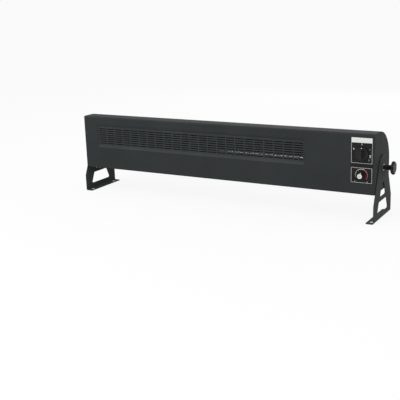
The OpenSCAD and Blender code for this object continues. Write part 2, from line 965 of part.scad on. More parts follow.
module thermostat() {
    body_h = 34;
    tag_w = 6.3;
    tag_l = 8;
    tag_offset = 12;
    back = front_inside + thermostat_body_l;
    color([0.75, 0.74, 0.68])
    translate([control_mid_x, 0, thermostat_axis_z])
    difference() {
        union() {
            elevation(front_inside, back) square([thermostat_body_w, body_h], center = true);
            for (s = [-1, 1])
                translate([s * tag_offset - tag_w / 2, back, -tag_offset]) cube([tag_w, tag_l, tag_t]);
        }
        rod_y(front_inside - over, front_inside + spindle_in, spindle_d + 2 * running_fit);
    }
}

// The sensing bulb in the intake air and the fine tube that joins it to the thermostat
module thermostat_bulb() {
    bulb_top = capillary_z - capillary_bend - 3;
    far_x = control_mid_x - capillary_bend;
    color(copper) {
        translate([bulb_x, bulb_y, bulb_top - bulb_l]) cylinder(h = bulb_l, d = bulb_d);
        translate([bulb_x, bulb_y, bulb_top]) cylinder(h = 3, d = capillary_d, $fn = 24);
        translate([bulb_x + capillary_bend, bulb_y, capillary_z - capillary_bend])
            rotate([90, 0, 180])
            capillary_elbow();
        translate([0, bulb_y, capillary_z]) rod_x(bulb_x + capillary_bend, far_x, capillary_d);
        translate([far_x, bulb_y - capillary_bend, capillary_z]) capillary_elbow();
        translate([control_mid_x, 0, capillary_z])
            rod_y(front_inside + thermostat_body_l, bulb_y - capillary_bend, capillary_d);
    }
}

module capillary_elbow() {
    rotate_extrude(angle = 90)
        translate([capillary_bend, 0]) circle(d = capillary_d, $fn = 24);
}

module bulb_clip() {
    hold = 0.15;
    ring_d = bulb_d + 2 * hold + 2;
    clip_h = 8;
    bulb_top = capillary_z - capillary_bend - 3;
    color(black_plastic)
    for (k = [1, 3])
        translate([bulb_x, bulb_y, bulb_top - k * bulb_l / 4 - clip_h / 2])
        difference() {
            union() {
                cylinder(h = clip_h, d = ring_d);
                translate([0, -ring_d / 2, 0]) cube([zone_x1 - bulb_x, ring_d, clip_h]);
            }
            translate([0, 0, -over]) cylinder(h = clip_h + 2 * over, d = bulb_d + 2 * hold);
        }
}

module terminal_block() {
    ways = 5;
    way_w = 11;
    block_d = 26;
    block_h = 22;
    base_h = 6;
    split = 1;
    from_gland = 6;
    well_d = 6;
    well_z = 10;
    well_offset = 7;
    color(white_plastic)
    translate([gland_x - ways * way_w - from_gland, -block_d / 2, cover_top])
    difference() {
        union() {
            for (i = [0 : ways - 1])
                translate([i * way_w, 0, 0]) cube([way_w - split, block_d, block_h]);
            cube([ways * way_w - split, block_d, base_h]);
        }
        for (i = [0 : ways - 1], s = [-1, 1])
            translate([i * way_w + (way_w - split) / 2, block_d / 2 + s * well_offset, well_z])
                cylinder(h = block_h, d = well_d, $fn = 24);
    }
}

module earth_stud() {
    from_gland = 34;
    bolt_l = 18;
    bolt_d = 6;
    head_h = 5;
    head_d = 11.5;
    collar_d = 14;
    color(brass)
    translate([gland_x + from_gland, 0, cover_top]) {
        cylinder(h = bolt_l, d = bolt_d);
        cylinder(h = head_h, d = head_d, $fn = 6);
        translate([0, 0, head_h]) cylinder(h = 1, d = collar_d);
    }
}

module cable_gland() {
    dome_d = 30;
    tip = back_y + gland_hex_t + gland_dome_l;
    color(black_plastic)
    translate([gland_x, 0, gland_z])
    difference() {
        union() {
            rod_y(back_inside - gland_tail, back_y, gland_thread_d);
            translate([0, back_y + gland_hex_t, 0])
                rotate([90, 0, 0])
                cylinder(h = gland_hex_t, d = gland_hex_d, $fn = 6);
            rod_y(back_y + gland_hex_t, tip - gland_tip_l, dome_d);
            translate([0, tip - gland_tip_l, 0])
                rotate([-90, 0, 0])
                cylinder(h = gland_tip_l, d1 = dome_d, d2 = dome_d - gland_taper);
        }
        rod_y(back_inside - gland_tail - over, tip + over, cable_bore_d);
    }
}

module gland_locknut() {
    nut_t = 6;
    color(black_plastic)
    translate([gland_x, back_inside, gland_z])
    rotate([90, 0, 0])
    difference() {
        cylinder(h = nut_t, d = gland_hex_d + 1, $fn = 6);
        translate([0, 0, -over]) cylinder(h = nut_t + 2 * over, d = gland_thread_d + 2 * press_gap);
    }
}

// Tilt hardware

module pivot_nut(side) {
    face = end_x - cap_t;
    flange_t = 2;
    color(bright_steel)
    at_end(side)
    at_pivot()
    difference() {
        union() {
            rod_x(face - flange_t, face, nut_w + 10);
            translate([face - nut_l, 0, 0])
                rotate([0, 90, 0]) cylinder(h = nut_l, d = nut_w / cos(30), $fn = 6);
        }
        rod_x(face - nut_l - over, face + over, stud_d + 2 * running_fit);
    }
}

module left_pivot_nut() { pivot_nut("left"); }
module right_pivot_nut() { pivot_nut("right"); }

module flat_ring(side, x0, x1, d) {
    at_end(side)
    at_pivot()
    difference() {
        rod_x(x0, x1, d);
        rod_x(x0 - over, x1 + over, stud_d + 2 * bolt_fit);
    }
}

module left_friction_disc() { color([0.2, 0.19, 0.17]) flat_ring("left", end_x, end_x + disc_t, disc_d); }
module right_friction_disc() { color([0.2, 0.19, 0.17]) flat_ring("right", end_x, end_x + disc_t, disc_d); }
module left_washer() { color(bright_steel) flat_ring("left", plate_out, plate_out + washer_t, washer_d); }
module right_washer() { color(bright_steel) flat_ring("right", plate_out, plate_out + washer_t, washer_d); }

// The section of the star knob, from the axis outwards, with a flared hub and a rounded rim
module star_section() {
    r = knob_d / 2;
    soft = min(3, knob_head_t / 3);
    hub_r = knob_hub_d / 2;
    top = knob_hub_l + soft;
    polygon([[0, 0], [hub_r, 0], [hub_r, knob_hub_l / 2], [hub_r + knob_flare, top], [0, top]]);
    translate([0, knob_hub_l]) {
        square([r - soft, knob_head_t]);
        translate([r - soft, soft]) square([soft, knob_head_t - 2 * soft]);
        for (z = [soft, knob_head_t - soft])
            translate([r - soft, z]) circle(soft);
    }
}

module tilt_knob(side) {
    r = knob_d / 2;
    scoop_r = r / 3;
    scoop_at = r + 0.35 * scoop_r;
    under_depth = knob_head_t * 0.45;
    wall = 3;
    start = plate_out + washer_t;
    color(black_plastic)
    at_end(side)
    at_pivot()
    translate([start, 0, 0])
    rotate([0, 90, 0])
    difference() {
        rotate_extrude($fn = 96) star_section();
        for (i = [0 : knob_lobes - 1])
            rotate((i + 0.5) * 360 / knob_lobes)
            translate([scoop_at, 0, knob_hub_l - over]) cylinder(h = knob_head_t + 2 * over, r = scoop_r);
        translate([0, 0, knob_hub_l - over])
        difference() {
            cylinder(h = under_depth + over, r = scoop_at - scoop_r - wall);
            translate([0, 0, -over]) cylinder(h = under_depth + 3 * over, r = knob_hub_d / 2 + knob_flare);
        }
        translate([0, 0, -over]) cylinder(h = stud_grip + over, d = stud_d + 2 * press_gap);
    }
}

module left_tilt_knob() { tilt_knob("left"); }
module right_tilt_knob() { tilt_knob("right"); }

module knob_stud(side) {
    color(bright_steel)
    at_end(side)
    at_pivot() rod_x(end_x - cap_t - stud_in, plate_out + washer_t + stud_grip, stud_d);
}

module left_knob_stud() { knob_stud("left"); }
module right_knob_stud() { knob_stud("right"); }

// Control knobs

module spindle(z) {
    color(bright_steel)
    translate([control_mid_x, 0, z])
        rod_y(plate_face - knob_gap - spindle_grip, front_inside + spindle_in - 1, spindle_d);
}

module switch_spindle() { spindle(switch_axis_z); }
module thermostat_spindle() { spindle(thermostat_axis_z); }

module spindle_bore() {
    rod_y(plate_face - knob_gap - spindle_grip, plate_face, spindle_d + 2 * press_gap);
}

module switch_knob() {
    skirt_t = 4;
    foot = plate_face - knob_gap;
    boss_t = 4;
    boss_rim = 7;
    boss_d = switch_grip_w + 2 * boss_rim;
    dot_d = 3.5;
    dot_edge = 1;
    dot_depth = 0.6;
    color(black_plastic)
    translate([control_mid_x, 0, switch_axis_z])
    difference() {
        union() {
            rod_y(foot - skirt_t, foot, switch_knob_d);
            rod_y(foot - skirt_t - boss_t, foot - skirt_t, boss_d);
            elevation(foot - switch_knob_l, foot - skirt_t)
                rotate(90) round_slot(switch_grip_l, switch_grip_w);
        }
        translate([0, 0, switch_knob_d / 2 - dot_edge - dot_d / 2])
            rod_y(foot - skirt_t - over, foot - skirt_t + dot_depth, dot_d);
        spindle_bore();
    }
}

module thermostat_knob() {
    foot = plate_face - knob_gap;
    skirt_t = 4;
    r = thermostat_knob_d / 2;
    skirt_d = thermostat_knob_d + 4;
    nose_w = 3;
    nose_reach = 12;
    grooves = 10;
    groove_d = 2.4;
    edge = 1.5;
    color(black_plastic)
    translate([control_mid_x, 0, thermostat_axis_z])
    difference() {
        union() {
            translate([0, foot, 0])
                rotate([90, 0, 0])
                rotate_extrude($fn = 72)
                polygon([[0, 0], [skirt_d / 2, 0], [skirt_d / 2, skirt_t - 1], [r, skirt_t],
                    [r, thermostat_knob_l - edge], [r - edge, thermostat_knob_l], [0, thermostat_knob_l]]);
            rotate([0, pointer_angle, 0])
                translate([-nose_w / 2, foot - thermostat_knob_l, 0])
                cube([nose_w, thermostat_knob_l - 1, nose_reach]);
        }
        for (i = [0 : grooves - 1])
            rotate([0, pointer_angle + (i + 0.5) * 360 / grooves, 0])
            translate([0, 0, r + groove_d / 4])
                rod_y(foot - thermostat_knob_l - over, foot - skirt_t - 1, groove_d);
        spindle_bore();
    }
}

left_bracket();
right_bracket();
outer_casing();
front_grille();
bottom_cover();
left_end_cap();
right_end_cap();
control_bulkhead();
left_element_bracket();
element_support();
upper_air_guide();
lower_air_guide();
left_blower_casing();
right_blower_casing();
left_fan_motor();
right_fan_motor();
left_wheel_bush();
right_wheel_bush();
upper_heating_tube();
middle_heating_tube();
lower_heating_tube();
thermal_cutouts();
control_plate();
cam_switch();
thermostat();
thermostat_bulb();
bulb_clip();
terminal_block();
earth_stud();
cable_gland();
gland_locknut();
left_pivot_nut();
right_pivot_nut();
left_friction_disc();
right_friction_disc();
bottom_screws();
left_blower_wheel();
right_blower_wheel();
left_rotor();
right_rotor();
left_washer();
right_washer();
left_tilt_knob();
right_tilt_knob();
left_knob_stud();
right_knob_stud();
switch_knob();
switch_spindle();
thermostat_knob();
thermostat_spindle();
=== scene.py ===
# %% [markdown]
# # A long fan heater, dressed
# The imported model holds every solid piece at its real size: folded sheets, feet, knobs,
# blowers and heating tubes. This lesson gives those pieces their finishes, and adds what is
# too thin for a solid: the print on the control plate, the thermostat's white cap and the
# white dot of the switch knob. Everything is in metres. X runs along the housing to the
# controls, Y backwards, Z up.

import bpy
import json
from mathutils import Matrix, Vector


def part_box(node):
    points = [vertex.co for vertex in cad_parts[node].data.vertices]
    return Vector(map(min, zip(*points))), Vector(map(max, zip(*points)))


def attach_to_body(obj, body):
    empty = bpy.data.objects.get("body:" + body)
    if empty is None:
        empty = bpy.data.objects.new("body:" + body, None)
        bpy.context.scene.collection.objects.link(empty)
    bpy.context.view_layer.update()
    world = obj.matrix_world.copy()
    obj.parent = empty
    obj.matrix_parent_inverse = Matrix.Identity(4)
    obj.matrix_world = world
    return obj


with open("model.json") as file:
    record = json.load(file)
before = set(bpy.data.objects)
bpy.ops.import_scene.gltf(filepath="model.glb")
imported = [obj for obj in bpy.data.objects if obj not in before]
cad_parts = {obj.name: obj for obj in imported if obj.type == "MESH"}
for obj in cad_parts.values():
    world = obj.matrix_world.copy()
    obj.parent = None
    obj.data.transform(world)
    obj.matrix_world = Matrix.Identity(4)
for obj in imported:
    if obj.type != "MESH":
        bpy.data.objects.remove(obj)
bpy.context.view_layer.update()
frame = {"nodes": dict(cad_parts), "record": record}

# %% Tools used throughout
import json
import math

import bmesh
import bpy
from mathutils import Matrix, Vector

MM = 0.001
nodes = frame["nodes"]
scene = bpy.context.scene

# %% [markdown]
# ## The camera
# A product photograph is taken from one exact place. The heater is seen from its right end,
# a little above it, and a long lens keeps the far end from shrinking much. A constraint
# could aim the camera, but it would also level it, and this camera leans slightly. So three
# angles turn into its three directions, right, up and back, which are the columns of its
# matrix. A small shift slides the picture without turning the camera.

# %% Place the camera
CAMERA_PLACE = Vector((1.3145, -2.4318, 0.7566))
TURN, DIP, LEAN = -0.52327, -0.24435, -0.03289  # radians
FOCAL_LENGTH = 69.67
SHIFT_X, SHIFT_Y = -0.0163, -0.0442

ahead = math.cos(DIP)
looking = Vector((math.sin(TURN) * ahead, math.cos(TURN) * ahead, math.sin(DIP)))
level = Vector((math.cos(TURN), -math.sin(TURN), 0))
upright = level.cross(looking)
right = math.cos(LEAN) * level + math.sin(LEAN) * upright
up = math.cos(LEAN) * upright - math.sin(LEAN) * level
facing = Matrix((right, up, -looking)).transposed().to_4x4()

camera = bpy.data.objects.new("camera", bpy.data.cameras.new("camera"))
scene.collection.objects.link(camera)
camera.matrix_world = Matrix.Translation(CAMERA_PLACE) @ facing
camera.data.lens = FOCAL_LENGTH
camera.data.shift_x = SHIFT_X
camera.data.shift_y = SHIFT_Y
scene.camera = camera
print("camera", tuple(round(c, 3) for c in camera.location), "lens", FOCAL_LENGTH)

# %% [markdown]
# ## Colours and node materials
# Paint chips are picked in sRGB, while shaders work in linear light, so one helper converts.
# A finish could be a picture wrapped around the piece. Nodes were chosen, because they stay
# sharp at any distance and fit every shape. Two more helpers add a node and start a
# material.

# %% Start a material
STRAIGHT_UP_TO = 10


def linear(*levels):
    """A colour of 0 to 255 levels as linear RGBA, by the sRGB curve and its straight foot."""
    channels = []
    for v in levels:
        foot = v / 255 / 12.92
        curve = ((v / 255 + 0.055) / 1.055) ** 2.4
        channels.append(foot if v <= STRAIGHT_UP_TO else curve)
    return (*channels, 1)


def add_node(tree, kind, **settings):
    """Adds a node and sets its options, which decide what sockets it has."""
    node = tree.nodes.new(kind)
    for key, value in settings.items():
        setattr(node, key, value)
    return node


def start_finish(name):
    """A new node material, with its tree and its main shader."""
    finish = bpy.data.materials.new(name)
    finish.use_nodes = True
    return finish, finish.node_tree, finish.node_tree.nodes["Principled BSDF"]


# %% [markdown]
# ## Grain, tint and relief
# No real surface is quite even. A noise that is fixed to the piece drives three things here:
# the colour, which wanders between two close tones, the roughness, and a relief that is too
# fine to model. Edges are shaded as if slightly rounded, because a real edge is never razor
# sharp and catches a little light. Rounding them in the mesh would cost many faces.

# %% Grain, tint and relief
TINT_FROM, TINT_TO = 0.3, 0.7
EDGE_RADIUS, EDGE_SAMPLES = 0.5 * MM, 6


def noise(tree, scale, detail=2, stretch=(1, 1, 1)):
    """A noise that is fixed to the piece, as features of about 1/scale metres."""
    place = add_node(tree, "ShaderNodeTexCoord")
    spread = add_node(tree, "ShaderNodeMapping")
    spread.inputs["Scale"].default_value = stretch
    grain = add_node(tree, "ShaderNodeTexNoise")
    grain.inputs["Scale"].default_value = scale
    grain.inputs["Detail"].default_value = detail
    tree.links.new(place.outputs["Object"], spread.inputs["Vector"])
    tree.links.new(spread.outputs["Vector"], grain.inputs["Vector"])
    return grain.outputs["Fac"]


def tint(tree, shader, factor, dark, light):
    """Lets a noise drive the base colour between two close colours."""
    ramp = add_node(tree, "ShaderNodeValToRGB")
    first, last = ramp.color_ramp.elements
    first.position, last.position = TINT_FROM, TINT_TO
    first.color, last.color = linear(*dark), linear(*light)
    tree.links.new(factor, ramp.inputs["Fac"])
    tree.links.new(ramp.outputs["Color"], shader.inputs["Base Color"])


def vary_roughness(tree, shader, factor, low, high):
    """Lets a noise drive the roughness between two values."""
    span = add_node(tree, "ShaderNodeMapRange")
    span.inputs["To Min"].default_value = low
    span.inputs["To Max"].default_value = high
    tree.links.new(factor, span.inputs["Value"])
    tree.links.new(span.outputs["Result"], shader.inputs["Roughness"])


def bump(tree, shader, factor, height, strength):
    """Fine relief, laid over edges that are shaded as if rounded."""
    soft_edge = add_node(tree, "ShaderNodeBevel", samples=EDGE_SAMPLES)
    soft_edge.inputs["Radius"].default_value = EDGE_RADIUS
    relief = add_node(tree, "ShaderNodeBump")
    relief.inputs["Strength"].default_value = strength
    relief.inputs["Distance"].default_value = height
    tree.links.new(soft_edge.outputs["Normal"], relief.inputs["Normal"])
    tree.links.new(factor, relief.inputs["Height"])
    tree.links.new(relief.outputs["Normal"], shader.inputs["Normal"])


# %% [markdown]
# ## Powder coat
# The sheets are sprayed with powder and baked. Close up, the skin is a fine orange peel,
# about a millimetre from crest to crest, and its gloss wanders a little from place to place.
# Three noises of different scale give the clouds of colour, the patches of gloss and the
# peel. The coat is matt, so its mirror part is kept low. Otherwise a pale room would wash
# out the faces that are seen at a flat angle. The feet and the grille have the same coat as
# the casing, but they are painted a shade lighter, as painted light: on the grille it is a
# painted highlight for the light that its pressed lips catch, and on the feet it lifts the
# faces that sit in shade under the housing.

# %% Powder coat
COLOUR_CLOUDS, GLOSS_PATCHES, ORANGE_PEEL = 9, 25, 900
COAT_ROUGHNESS = 0.56, 0.7
COAT_MIRROR = 0.05
PEEL_HEIGHT = 0.06 * MM


def powder_coat(name, dark, light):
    """A matt sprayed coat between two close tones."""
    finish, tree, shader = start_finish(name)
    tint(tree, shader, noise(tree, COLOUR_CLOUDS), dark, light)
    vary_roughness(tree, shader, noise(tree, GLOSS_PATCHES), *COAT_ROUGHNESS)
    bump(tree, shader, noise(tree, ORANGE_PEEL), PEEL_HEIGHT, strength=0.6)
    shader.inputs["Specular IOR Level"].default_value = COAT_MIRROR
    return finish


casing_paint = powder_coat("casing_paint", (52, 55, 55), (56, 59, 59))
# The feet's coat is painted a shade lighter than the casing's: painted light, which lifts the
# faces that sit in shade under the housing.
bracket_paint = powder_coat("bracket_paint", (58, 60, 60), (63, 65, 65))
# The grille's coat is painted a shade lighter too: a painted highlight for the light that its
# pressed lips catch.
grille_paint_with_painted_highlight = powder_coat("grille_paint_with_painted_highlight", (58, 62, 62), (64, 68, 68))
print("coats:", casing_paint.name, bracket_paint.name, grille_paint_with_painted_highlight.name)

# %% [markdown]
# ## Bare metals
# Zinc-dipped sheet shows pale flakes, so its noise is blotchy. Rolled and turned steel has
# lines along one direction, so its noise is stretched. Steel near the heating tubes has
# darkened from the heat, and it is painted darker still, as painted shade for what is seen
# through the grille's slots. The washers are duller than the studs. One function serves them
# all, because bare metals differ only in colour, grain and polish.

# %% Bare metals
METAL_RELIEF = 0.03 * MM
# Heat tint, made darker still as painted shade for what is seen through the grille's slots.
HEAT_AND_SHADE_DARK, HEAT_AND_SHADE_LIGHT = (30, 27, 26), (48, 43, 40)


def metal(name, dark, light, scale, rough, stretch=(1, 1, 1)):
    """Bare metal, from two tones, the scale of its grain, its roughness and the grain's run."""
    finish, tree, shader = start_finish(name)
    grain = noise(tree, scale, detail=4, stretch=stretch)
    tint(tree, shader, grain, dark, light)
    vary_roughness(tree, shader, grain, *rough)
    bump(tree, shader, grain, METAL_RELIEF, strength=0.4)
    shader.inputs["Metallic"].default_value = 1
    return finish


galvanised = metal(
    "galvanised_sheet", (168, 173, 177), (200, 204, 208), scale=160, rough=(0.32, 0.5)
)
bright_steel = metal(
    "zinc_plated_steel", (196, 197, 200), (222, 222, 226),
    scale=240, rough=(0.2, 0.34), stretch=(1, 4, 4),
)
motor_steel = metal(
    "stacked_plates", (120, 122, 128), (165, 167, 172),
    scale=900, rough=(0.4, 0.55), stretch=(1, 0.05, 0.05),
)
copper = metal("drawn_copper", (178, 108, 74), (206, 134, 96), scale=300, rough=(0.25, 0.4))
# Steel near the heating tubes: heat tint, and painted shade for the slots in front of it.
heat_tint_and_painted_shade = metal(
    "heat_tint_and_painted_shade_steel", HEAT_AND_SHADE_DARK, HEAT_AND_SHADE_LIGHT, scale=120, rough=(0.4, 0.55), stretch=(1, 3, 3)
)
dull_zinc = metal("dull_zinc", (112, 113, 116), (146, 147, 150), scale=300, rough=(0.4, 0.55))
brass = metal(
    "turned_brass", (186, 156, 92), (214, 184, 118),
    scale=400, rough=(0.22, 0.38), stretch=(1, 1, 0.2),
)
print("metals:", galvanised.name, bright_steel.name, motor_steel.name, copper.name, brass.name)

# %% [markdown]
# ## The lower heating tube
# A heating tube darkens where it gets hot and stays bright at its cold end, beside the
# controls. Its hot part is painted darker still, as painted shade seen through the slots.
# The lower tube keeps the longest bright end. It glints through the low slots of the
# grille's right half, much as in the photograph, where the glints lie one row lower. Two
# finishes would meet at a hard line, so one finish turns from dark to bright along X, the
# length of the housing.

# %% The lower heating tube
HOT_UP_TO, COLD_FROM = -0.03, 0.06
COLD_COLOUR = (224, 224, 228)


def cold_ended_steel(name):
    """Heat-tinted steel with painted shade, turning bright towards the controls."""
    finish = metal(name, HEAT_AND_SHADE_DARK, HEAT_AND_SHADE_LIGHT, scale=120, rough=(0.12, 0.22), stretch=(1, 3, 3))
    tree = finish.node_tree
    base_colour = tree.nodes["Principled BSDF"].inputs["Base Color"]
    hot_and_shaded_colour = base_colour.links[0].from_socket
    place = add_node(tree, "ShaderNodeTexCoord")
    parts = add_node(tree, "ShaderNodeSeparateXYZ")
    coldness = add_node(tree, "ShaderNodeMapRange", interpolation_type="SMOOTHSTEP")
    coldness.inputs["From Min"].default_value = HOT_UP_TO
    coldness.inputs["From Max"].default_value = COLD_FROM
    blend = add_node(tree, "ShaderNodeMix", data_type="RGBA")
    blend.inputs["B"].default_value = linear(*COLD_COLOUR)
    tree.links.new(place.outputs["Object"], parts.inputs["Vector"])
    tree.links.new(parts.outputs["X"], coldness.inputs["Value"])
    tree.links.new(coldness.outputs["Result"], blend.inputs["Factor"])
    tree.links.new(hot_and_shaded_colour, blend.inputs["A"])
    tree.links.new(blend.outputs["Result"], base_colour)
    return finish


lower_tube_steel = cold_ended_steel("cold_ended_steel")
print("lower tube: hot up to x", HOT_UP_TO, "and cold from", COLD_FROM)

# %% [markdown]
# ## Plastics, rubber and fibre
# Moulded pieces have an even colour and a faint spark-eroded grain, so one function makes
# them all, from a colour, a grain and a roughness. The switch knob is a touch lighter than
# the other black pieces, so that its form stands out from the plate behind it.

# %% Plastics, rubber and fibre
MOULD_CLOUDS = 40
MOULD_GRAIN, FINE_GRAIN = 0.04 * MM, 0.02 * MM
MOULD_MIRROR = 0.2


def moulded(name, dark, light, scale, rough, height=MOULD_GRAIN):
    """A moulded skin, from two tones, the scale of its grain, its roughness and its relief."""
    finish, tree, shader = start_finish(name)
    tint(tree, shader, noise(tree, MOULD_CLOUDS), dark, light)
    grain = noise(tree, scale, detail=3)
    vary_roughness(tree, shader, grain, *rough)
    bump(tree, shader, grain, height, strength=0.5)
    shader.inputs["Specular IOR Level"].default_value = MOULD_MIRROR
    return finish


black_plastic = moulded("black_plastic", (18, 18, 19), (22, 22, 23), 1200, (0.4, 0.52))
satin_plastic = moulded("satin_black_plastic", (30, 30, 32), (35, 35, 37), 1200, (0.34, 0.44))
plate_plastic = moulded(
    "plate_lacquer", (17, 18, 18), (20, 21, 21), 600, (0.36, 0.44), FINE_GRAIN
)
white_plastic = moulded(
    "white_plastic", (226, 226, 221), (234, 234, 230), 1000, (0.28, 0.38), FINE_GRAIN
)
grey_plastic = moulded("pale_grey_plastic", (196, 194, 182), (206, 204, 192), 1000, (0.4, 0.5))
dark_plastic = moulded("dark_grey_plastic", (50, 50, 53), (56, 56, 58), 1000, (0.4, 0.5))
rubber = moulded("black_rubber", (26, 26, 26), (34, 34, 34), 700, (0.7, 0.82), 0.08 * MM)
fibre = moulded("pressed_fibre", (50, 47, 42), (64, 60, 54), 1500, (0.8, 0.9), 0.1 * MM)
print("materials so far:", len(bpy.data.materials))

# %% [markdown]
# ## Give every solid its finish
# On the real heater each piece comes from its own process: dipped, plated, moulded, drawn.
# The record names a material slot for each node, so one table from slot to finish dresses
# them all. A second table holds the few pieces with a finish of their own: the grille, whose
# lighter coat is a painted highlight, and the tubes and sheets that the heat has darkened,
# which are painted darker still as painted shade behind the slots.

# %% Give every solid its finish
FINISHES = {
    "casing_paint": casing_paint,
    "bracket_paint": bracket_paint,
    "galvanised_steel": galvanised,
    "bright_steel": bright_steel,
    "motor_steel": motor_steel,
    "black_plastic": black_plastic,
    "white_plastic": white_plastic,
    "grey_plastic": grey_plastic,
    "dark_plastic": dark_plastic,
    "copper": copper,
    "brass": brass,
    "rubber": rubber,
    "fibre": fibre,
}
OWN_FINISHES = {
    "control_plate": plate_plastic,
    "front_grille": grille_paint_with_painted_highlight,
    "switch_knob": satin_plastic,
    "left_washer": dull_zinc,
    "right_washer": dull_zinc,
    # The tubes, the support and the upper guide carry heat tint and painted shade.
    "upper_heating_tube": heat_tint_and_painted_shade,
    "middle_heating_tube": heat_tint_and_painted_shade,
    "lower_heating_tube": lower_tube_steel,
    "element_support": heat_tint_and_painted_shade,
    "upper_air_guide": heat_tint_and_painted_shade,
}


def give_finish(piece, finish):
    """Leaves one finish on a piece."""
    piece.data.materials.clear()
    piece.data.materials.append(finish)


for row in frame["record"]["subparts"]:
    name = row["node"]
    give_finish(nodes[name], OWN_FINISHES.get(name, FINISHES[row["material_slot"]]))
print("finishes:", len(FINISHES), "on", len(nodes), "nodes,", len(OWN_FINISHES), "of their own")

# %% [markdown]
# ## The floor
# The photograph is cut out on white. A plain white floor would throw light back under the
# heater, and one that is left out would take the shadow with it. So this floor is almost
# white for every ray that shows it: straight from the camera, in a reflection or through
# glass. For all other rays it is grey, yet it keeps a soft shadow at the feet. It lies a
# hair below the soles, so the two never coincide.

# %% The floor's sheet
FLOOR_SIZE, FLOOR_GAP = 30, 0.3 * MM

half = FLOOR_SIZE / 2
corners = [(-half, -half, 0), (half, -half, 0), (half, half, 0), (-half, half, 0)]
floor_mesh = bpy.data.meshes.new("floor")
floor_mesh.from_pydata(corners, [], [(0, 1, 2, 3)])
floor = bpy.data.objects.new("floor", floor_mesh)
scene.collection.objects.link(floor)
floor.location.z = -FLOOR_GAP
print("floor:", FLOOR_SIZE, "m square,", FLOOR_GAP, "m below the soles")

# %% The floor's two tones
FLOOR_THROWS, FLOOR_SHOWS, FLOOR_GLOW = 0.4, 0.85, 0.88
FLOOR_ROUGHNESS, FLOOR_MIRROR = 0.9, 0.1


def seen_rays(tree):
    """Is 1 for rays that show the background: from the camera, mirrored or through glass."""
    path = add_node(tree, "ShaderNodeLightPath")
    either = path.outputs["Is Camera Ray"]
    for kind in ("Is Glossy Ray", "Is Transmission Ray"):
        widest = add_node(tree, "ShaderNodeMath", operation="MAXIMUM")
        tree.links.new(either, widest.inputs[0])
        tree.links.new(path.outputs[kind], widest.inputs[1])
        either = widest.outputs["Value"]
    return either


floor_finish, tree, shader = start_finish("pale_floor")
shader.inputs["Roughness"].default_value = FLOOR_ROUGHNESS
shader.inputs["Specular IOR Level"].default_value = FLOOR_MIRROR
seen = seen_rays(tree)

tone = add_node(tree, "ShaderNodeMix", data_type="RGBA")
tone.inputs["A"].default_value = (FLOOR_THROWS, FLOOR_THROWS, FLOOR_THROWS, 1)
tone.inputs["B"].default_value = (FLOOR_SHOWS, FLOOR_SHOWS, FLOOR_SHOWS, 1)
tree.links.new(seen, tone.inputs["Factor"])
tree.links.new(tone.outputs["Result"], shader.inputs["Base Color"])

glow = add_node(tree, "ShaderNodeEmission")
glow_share = add_node(tree, "ShaderNodeMath", operation="MULTIPLY")
glow_share.inputs[1].default_value = FLOOR_GLOW
blend = add_node(tree, "ShaderNodeMixShader")
tree.links.new(seen, glow_share.inputs[0])
tree.links.new(glow_share.outputs["Value"], blend.inputs["Fac"])
tree.links.new(shader.outputs["BSDF"], blend.inputs[1])
tree.links.new(glow.outputs["Emission"], blend.inputs[2])
tree.links.new(blend.outputs["Shader"], tree.nodes["Material Output"].inputs["Surface"])
give_finish(floor, floor_finish)
print("floor throws", FLOOR_THROWS, "and shows", FLOOR_SHOWS)

# %% [markdown]
# ## The sky and the lamps
# The sky is a plain pale one, with a little more strength for the rays that show it. Wide,
# soft lamps stand for studio panels, which the camera doesn't see. The strong one is in
# front, and a weak one behind shows the form of the rolled back. Small lamps would draw hard
# shadows, which the photograph doesn't have.

# %% The sky
SKY_THROWS, SKY_SHOWS = 0.7, 0.955

world = bpy.data.worlds.new("studio")
scene.world = world
world.use_nodes = True
sky = world.node_tree
backdrop = sky.nodes["Background"]
backdrop.inputs["Color"].default_value = (1, 1, 1, 1)
sky_level = add_node(sky, "ShaderNodeMix")
sky_level.inputs["A"].default_value = SKY_THROWS
sky_level.inputs["B"].default_value = SKY_SHOWS
sky.links.new(seen_rays(sky), sky_level.inputs["Factor"])
sky.links.new(sky_level.outputs["Result"], backdrop.inputs["Strength"])
scene.view_settings.view_transform = "Standard"
print("sky throws", SKY_THROWS, "and shows", SKY_SHOWS)

# %% The lamps
AIM = Vector((0, 0, 0.2))
LAMPS = {
    "top_panel": {"place": (0.2, -1.2, 2.4), "size": (2.6, 1.4), "watts": 3},
    "front_panel": {"place": (-0.6, -2.5, 2.3), "size": (2.2, 1.6), "watts": 47},
    "side_panel": {"place": (2.8, -0.9, 1.0), "size": (1.4, 1.0), "watts": 9},
    "back_panel": {"place": (-0.3, 2.9, 1.0), "size": (2.4, 1.2), "watts": 10},
}

for name, panel in LAMPS.items():
    lamp = bpy.data.objects.new(name, bpy.data.lights.new(name, "AREA"))
    lamp.data.shape = "RECTANGLE"
    lamp.data.size, lamp.data.size_y = panel["size"]
    lamp.data.energy = panel["watts"]
    lamp.location = panel["place"]
    lamp.rotation_euler = (AIM - lamp.location).to_track_quat("-Z", "Y").to_euler()
    lamp.visible_camera = False
    scene.collection.objects.link(lamp)
    print(name, panel["watts"], "W")

# %% [markdown]
# ## Printing on the control plate
# The plate carries two framed fields, a pale header strip and a dial scale, all printed. A
# picture laid on the plate would blur up close. So the ink is modelled, as skins a tenth of
# a millimetre thick, and its shape stays sharp at any distance. The two spindles of the
# controls give the middles of the dials.

# %% Find the plate and its dials
PLATE_LOW, PLATE_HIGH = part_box("control_plate")
PLATE_FACE = PLATE_LOW.y
DIAL_X = (PLATE_LOW.x + PLATE_HIGH.x) / 2
SWITCH_Z = sum(c.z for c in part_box("switch_spindle")) / 2
HEAT_Z = sum(c.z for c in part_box("thermostat_spindle")) / 2
INK = 0.12 * MM
print("dials at x", round(DIAL_X, 4), "z", round(SWITCH_Z, 4), round(HEAT_Z, 4))

